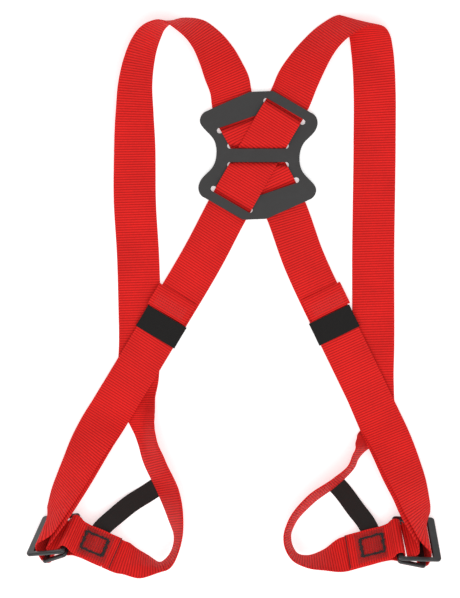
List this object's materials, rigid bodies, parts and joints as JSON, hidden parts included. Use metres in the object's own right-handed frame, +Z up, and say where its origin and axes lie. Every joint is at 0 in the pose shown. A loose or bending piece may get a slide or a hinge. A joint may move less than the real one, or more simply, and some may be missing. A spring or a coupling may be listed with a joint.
{
  "type": "chest safety harness",
  "caption": "Chest harness of wide red ribbed webbing crossing at a black back plate, with cinch buckles, elastic keepers and sewn tie-in loops, laid flat.",
  "frame": {"origin": "middle of the laid-out harness on the surface it lies on", "axes": "+Y towards the shoulder arches, +X towards the right-hand strap as laid out, +Z up off the surface"},
  "size_m": [0.4415, 0.6012, 0.0631],
  "materials": {
    "webbing": "cross-ribbed polyester webbing",
    "plate": "fine matte moulded",
    "buckle": "black coated, slightly worn edges",
    "elastic": "knitted elastic",
    "link": "smooth narrow webbing",
    "thread": "sewing thread"
  },
  "bodies": {
    "harness": {"back_plate": "plate", "weave_from_left": "webbing", "weave_from_right": "webbing", "shoulder_arch_left": "webbing", "load_strap_left": "webbing", "tail_strap_left": "webbing", "tail_stop_left": "webbing", "sewn_end_left": "webbing", "box_stitch_left": "thread", "end_stitch_left": "thread", "tie_in_loop_left": "webbing", "link_strap_left": "link", "shoulder_arch_right": "webbing", "load_strap_right": "webbing", "tail_strap_right": "webbing", "tail_stop_right": "webbing", "sewn_end_right": "webbing", "box_stitch_right": "thread", "end_stitch_right": "thread", "tie_in_loop_right": "webbing", "link_strap_right": "link"},
    "left_keeper": {"keeper_left": "elastic"},
    "left_upper_frame": {"upper_frame_left": "buckle"},
    "left_lower_frame": {"lower_frame_left": "buckle", "buckle_turn_left": "webbing"},
    "right_keeper": {"keeper_right": "elastic"},
    "right_upper_frame": {"upper_frame_right": "buckle"},
    "right_lower_frame": {"lower_frame_right": "buckle", "buckle_turn_right": "webbing"}
  },
  "joints": [
    {"name": "left_keeper_slide", "type": "slide", "parent": "harness", "child": "left_keeper", "axis": [-0.5145, -0.8575, 0], "range_m": [0, 0.025]},
    {"name": "left_upper_frame_tilt", "type": "hinge", "parent": "harness", "child": "left_upper_frame", "pos_m": [-0.1742, -0.2529, 0.0435], "axis": [0.3019, 0.6919, -0.6559], "range_deg": [0, 8]},
    {"name": "left_lower_frame_tilt", "type": "hinge", "parent": "harness", "child": "left_lower_frame", "pos_m": [-0.17211, -0.25662, 0.04053], "axis": [0.3019, 0.6919, -0.6559], "range_deg": [-2, 3], "deforming": ["buckle_turn_left"]},
    {"name": "right_keeper_slide", "type": "slide", "parent": "harness", "child": "right_keeper", "axis": [0.436, -0.9, 0], "range_m": [0, 0.025]},
    {"name": "right_upper_frame_tilt", "type": "hinge", "parent": "harness", "child": "right_upper_frame", "pos_m": [0.1743, -0.2585, 0.0375], "axis": [0.1231, -0.7705, 0.6254], "range_deg": [0, 8]},
    {"name": "right_lower_frame_tilt", "type": "hinge", "parent": "harness", "child": "right_lower_frame", "pos_m": [0.17321, -0.26181, 0.03364], "axis": [0.1231, -0.7705, 0.6254], "range_deg": [-2, 3], "deforming": ["buckle_turn_right"]}
  ]
}
